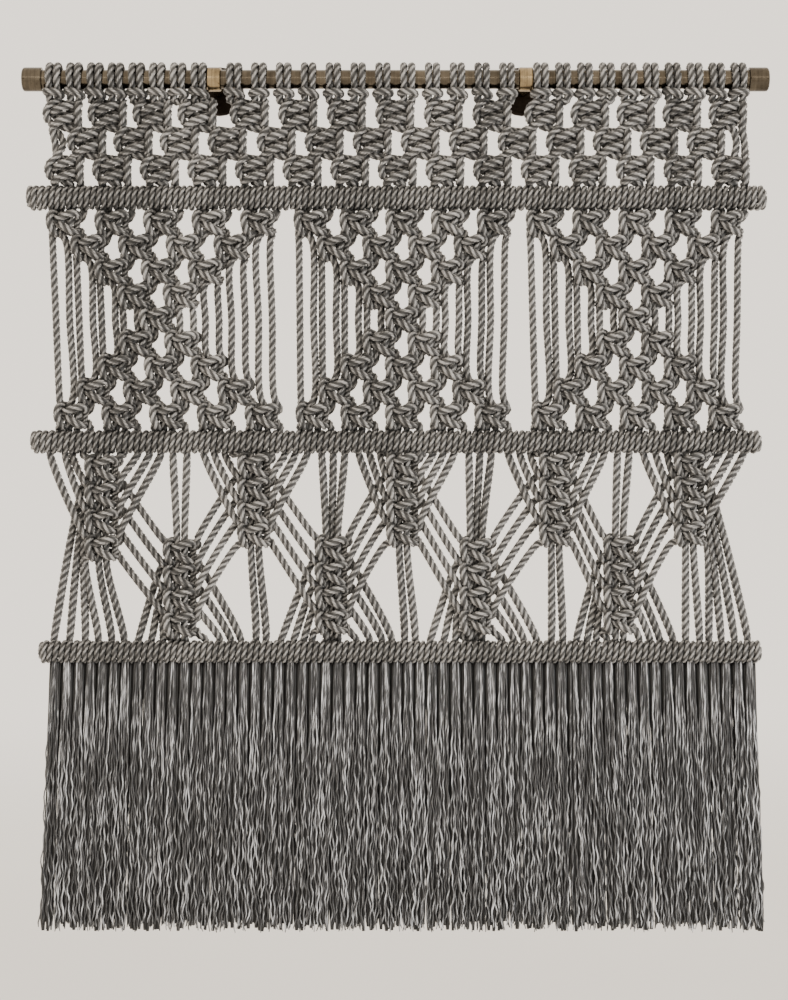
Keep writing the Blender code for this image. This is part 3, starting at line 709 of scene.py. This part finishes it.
def lowerRoutes():
    # for each cord of the second bar: its path and its lane at the third bar
    routes = {}
    for order, sinnet in enumerate(upperSinnets):
        for index in range(sinnetKnots):
            for side in (-1, 1):
                cord = laneFromOutside(sinnet, sinnetKnots - 1 - index, side)
                path = tyingCord(sinnet, index, side)
                lane = laneFromOutside(sinnet, index, side)
                neighbour = order + (side - 1) // 2     # a lower one hangs between two upper
                if 0 <= neighbour < len(lowerSinnets):
                    lower = lowerSinnets[neighbour]
                    path += tyingCord(lower, index, -side)
                    lane = laneFromOutside(lower, index, -side)
                routes[cord] = (path, lane)
    for sinnet in upperSinnets + lowerSinnets:
        for filler in range(sinnet["fillers"]):
            cord = sinnet["first"] + sinnetKnots + filler
            routes[cord] = (fillerCord(sinnet, filler), cord)
    return routes


def wholeCord(cord, routes):
    # from its tail at the rod down into the last bar
    top, glass, (middle, lane) = headerCord(cord), hourglassCord(cord), routes[cord]
    path = top + barCord(bars[0], cord, top[-1], glass[0])
    path += glass + barCord(bars[1], cord, glass[-1], middle[0])
    path += middle + barCord(bars[2], lane, middle[-1], None)
    return path


ropesInPiece = 5
ropeSeed = 7


def buildCords(material):
    random.seed(ropeSeed)
    routes = lowerRoutes()
    print("cords with a way through the lower panel:", len(routes))
    ropes = []
    for pair in range(len(hitches)):
        left = wholeCord(2 * pair, routes)
        right = wholeCord(2 * pair + 1, routes)
        tilt = random.uniform(*hitch["tilt"])
        path = left[::-1] + hitchPath(hitches[pair], tilt) + right
        ropes.append(tube(path, plied, rope["step"], rope["lay"],
                          random.uniform(0, 2 * math.pi), random.uniform(-1, 1)))
    shadeWhereTheyTouch(ropes)
    pieces = []
    for first in range(0, len(ropes), ropesInPiece):
        name = f"cords_{2 * first + 1:02d}_to_{2 * (first + ropesInPiece)}"
        pieces.append(meshOfTubes(name, ropes[first:first + ropesInPiece], material))
    return pieces


# Each yarn's wave, bend, foot and firmness are drawn between the two numbers given. A tuft is
# gathered at its root and open from the given share of its length; a painted highlight lightens
# what stands to the front of a yarn's crimp and swells and fades slowly along the yarn.
fringe = {"tufts": 60, "top": -580.0, "foot": -846.0, "footLeft": -348.0, "footRight": 361.0,
          "rootAside": 2.0, "opening": 0.40, "aside": 1.2, "seed": 21, "points": 56,
          "wave": 19.0, "waves": (0.85, 1.25), "bend": 50.0, "bends": (0.7, 1.4),
          "feet": (-5, 6), "firm": (0.7, 1.3), "gathered": 0.85, "tip": 0.6, "tipFrom": 0.985,
          "slow": 2.1, "paintedCrimpLight": {"least": 0.35, "slow": 0.35, "front": 0.15}}
# each tuft is a front and back with a painted highlight over a wider middle, painted dark as shade,
# that closes the curtain
fringeLayers = [
    {"spots": (-5.1, -3.1, -1.0, 1.0, 3.1, 5.1), "deep": -4.3, "radius": 0.8,
     "sides": 3, "step": 4.4, "lay": 14.0, "tone": (-0.8, 2.2), "swing": (0.4, 0.8),
     "bend": (0.2, 1.2), "gather": 0.52, "loose": 0.4, "ragged": 0.9, "paintedCrimpLight": 1.0},
    # the middle yarns are painted shade: a low tone and no painted highlight make them dark
    {"spots": (-3.9, -1.3, 1.3, 3.9), "deep": 0.6, "radius": 2.7, "sides": 4, "step": 12.0,
     "lay": 900.0, "tone": (-5.5, -4.5), "swing": (0.2, 0.2), "bend": (0.1, 0.3),
     "gather": 1.0, "loose": 0.15, "ragged": 0.2, "paintedCrimpLight": 0.0},
    {"spots": (-4.5, -2.2, 0.0, 2.3, 4.6), "deep": 4.9, "radius": 1.2, "sides": 3, "step": 5.6,
     "lay": 14.0, "tone": (-0.8, 2.2), "swing": (0.4, 0.8), "bend": (0.2, 1.2),
     "gather": 0.58, "loose": 0.45, "ragged": 0.9, "paintedCrimpLight": 1.0}]


def yarn(tuftX, footX, spot, layer):
    # a yarn keeps the crimp of the rope it was combed out of, with a painted highlight where it
    # stands forward
    wave = fringe["wave"] * random.uniform(*fringe["waves"])
    bend = fringe["bend"] * random.uniform(*fringe["bends"])
    phases = [random.uniform(0, 2 * math.pi) for _ in range(4)]
    foot = fringe["foot"] + random.uniform(*fringe["feet"])
    aside = spot + random.gauss(0, layer["loose"])
    deep = layer["deep"] + random.uniform(-1, 1) * layer["ragged"]
    firm = random.uniform(*fringe["firm"])
    outside = -1 if layer["deep"] <= 0 else 1       # towards the room or the wall
    stands, count = fringe["paintedCrimpLight"], fringe["points"]
    path, paintedCrimpLight = [], []
    for index in range(count + 1):
        share = index / count
        z = between(fringe["top"], foot, share)
        opening = min(1.0, share / fringe["opening"])
        gather = between(layer["gather"], 1.0, opening)
        swing = firm * opening * between(*layer["swing"], share)
        down = 2 * math.pi * (fringe["top"] - z)
        x = between(tuftX, footX, share) + aside * gather
        x += swing * math.sin(down / wave + phases[0])
        x += between(*layer["bend"], share) * math.sin(down / bend + phases[1])
        front = math.cos(down / wave + phases[2])
        y = deep * between(fringe["gathered"], 1.0, opening) + outside * swing * front
        thin = 1 if share < fringe["tipFrom"] else fringe["tip"]
        path.append(place(x, z, y, layer["radius"] * thin))
        # the painted highlight: a floor, a slow swell along the yarn and more where the crimp
        # stands forward
        slow = 0.5 + 0.5 * math.sin(down / (fringe["slow"] * bend) + phases[3])
        paintedCrimpLight.append(layer["paintedCrimpLight"] * (stands["least"] + stands["slow"] * slow
                                           + stands["front"] * (1 + front)))
    made = tube(path, roundSection(layer["sides"]), layer["step"], layer["lay"],
                random.uniform(0, 2 * math.pi), random.uniform(*layer["tone"]))
    rings = len(made["centres"])
    paintedCrimpLight = np.interp(np.linspace(0, count, rings), np.arange(count + 1), paintedCrimpLight)
    made["raised"] = np.repeat(paintedCrimpLight, layer["sides"])
    return made


def buildFringe(material):
    random.seed(fringe["seed"])
    roots = [x + fringe["rootAside"] for x in lanes(bars[2])]
    feet = spreadEvenly(fringe["footLeft"], fringe["footRight"], fringe["tufts"])
    half = fringe["tufts"] // 2
    halves = []
    for name, first in (("fringe_left", 0), ("fringe_right", half)):
        yarns = []
        for tuft in range(first, first + half):
            foot = feet[tuft] + random.uniform(-fringe["aside"], fringe["aside"])
            yarns += [yarn(roots[tuft], foot, spot, layer)
                      for layer in fringeLayers for spot in layer["spots"]]
        halves.append(meshOfTubes(name, yarns, material))
    return halves


def finishMetal():
    # the metalwork keeps its solids and gets its finish here
    for name, look in brassLook.items():
        finish = makeBrassMaterial(name + "_finish", look)
        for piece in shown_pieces():
            if piece.name.startswith(look["pieces"]):
                for slotPlace in piece.material_slots:
                    slotPlace.material = finish


view = {"spot": (-0.0015, -2.145, -0.420), "halfAngle": 13.5, "sensor": 36}


def makeCamera():
    # level and square to the wall; the angle is half of what the frame shows from top to foot
    camera = bpy.data.cameras.new("camera")
    camera.lens = view["sensor"] / 2 / math.tan(math.radians(view["halfAngle"]))
    camera.sensor_width = view["sensor"]
    holder = bpy.data.objects.new("camera", camera)
    holder.location = view["spot"]
    holder.rotation_euler = (math.pi / 2, 0, 0)
    bpy.context.scene.collection.objects.link(holder)
    bpy.context.scene.camera = holder


studio = {"floorZ": -1.35, "floorHalf": 9.0, "floorColour": (0.80, 0.785, 0.765),
          "floorShade": 0.97, "floorPatch": 1.2, "floorRoughness": 0.8,
          "world": (1.0, 0.915, 0.80), "worldStrength": 1.85, "fade": (2.5, 7.5)}
lamps = [{"name": "window", "spot": (1.9, -1.7, -0.8), "aim": (0.1, 0, -0.85),
          "size": (1.0, 1.4), "power": 34, "colour": (0.88, 0.94, 1.0)},
         {"name": "fill", "spot": (-2.2, -1.8, 0.6), "aim": (0, 0, -0.4),
          "size": (1.2, 1.6), "power": 5, "colour": (1.0, 0.93, 0.84)},
         {"name": "strip", "spot": (0.0, -1.7, 0.36), "aim": (0, 0, 0.0),
          "size": (2.6, 0.10), "power": 4, "colour": (1.0, 0.95, 0.88)}]


def areaLight(lamp):
    light = bpy.data.lights.new(lamp["name"], "AREA")
    light.shape = "RECTANGLE"
    light.size, light.size_y = lamp["size"]
    light.energy = lamp["power"]
    light.color = lamp["colour"]
    holder = bpy.data.objects.new(lamp["name"], light)
    holder.location = lamp["spot"]
    direction = Vector(lamp["aim"]) - Vector(lamp["spot"])
    holder.rotation_euler = direction.to_track_quat("-Z", "Y").to_euler()
    bpy.context.scene.collection.objects.link(holder)


def makeFloorMaterial():
    material, tree, shader = newMaterial("floor_paint")
    spot = node(tree, "ShaderNodeTexCoord").outputs["Object"]
    soft = node(tree, "ShaderNodeTexNoise", {"Vector": spot, "Scale": studio["floorPatch"],
                                             "Detail": 3.0})
    paint = studio["floorColour"]
    shade = tuple(channel * studio["floorShade"] for channel in paint)
    tree.links.new(ramp(tree, soft.outputs["Fac"], [(0.3, shade), (0.7, paint)]),
                   shader.inputs["Base Color"])
    shader.inputs["Roughness"].default_value = studio["floorRoughness"]
    # far out the floor glows in the room's colour, painted light, so no edge shows
    away = node(tree, "ShaderNodeVectorMath", {0: spot}, operation="LENGTH").outputs["Value"]
    fade = node(tree, "ShaderNodeMapRange", {"Value": away, "From Min": studio["fade"][0],
                                             "From Max": studio["fade"][1]},
                interpolation_type="SMOOTHSTEP").outputs[0]
    glow = node(tree, "ShaderNodeEmission", {"Color": (*studio["world"], 1.0),
                                             "Strength": studio["worldStrength"]})
    mixed = node(tree, "ShaderNodeMixShader", {0: fade, 1: shader.outputs[0],
                                               2: glow.outputs[0]})
    tree.links.new(mixed.outputs[0], tree.nodes["Material Output"].inputs["Surface"])
    return material


def makeFloor():
    half, z = studio["floorHalf"], studio["floorZ"]
    mesh = bpy.data.meshes.new("floor")
    mesh.from_pydata([(-half, -half, z), (half, -half, z), (half, half, z), (-half, half, z)], [],
                     [(0, 1, 2, 3)])
    mesh.materials.append(makeFloorMaterial())
    floor = bpy.data.objects.new("floor", mesh)
    bpy.context.scene.collection.objects.link(floor)
    floor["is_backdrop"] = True


def makeLight():
    world = bpy.data.worlds.new("studio")
    world.use_nodes = True
    background = world.node_tree.nodes["Background"]
    background.inputs["Color"].default_value = (*studio["world"], 1.0)
    background.inputs["Strength"].default_value = studio["worldStrength"]
    bpy.context.scene.world = world
    for lamp in lamps:
        areaLight(lamp)


cordMaterial = makeCordMaterial("twisted_cord", cordLook)
yarnMaterial = makeCordMaterial("combed_yarn", yarnLook)
print("materials made")
cords = buildCords(cordMaterial)
print("cords laid")
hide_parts("macrame")
buildBarCores(cordMaterial)
print("bars closed")
tufts = buildFringe(yarnMaterial)
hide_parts("fringe")
print("fringe hung")
finishMetal()
print("metal finished")
makeCamera()
makeFloor()
makeLight()
print("camera, floor and light set")
triangles = {piece.name: sum(len(face.vertices) - 2 for face in piece.data.polygons)
             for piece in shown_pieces()}
print("triangles:", triangles, "in all", sum(triangles.values()))
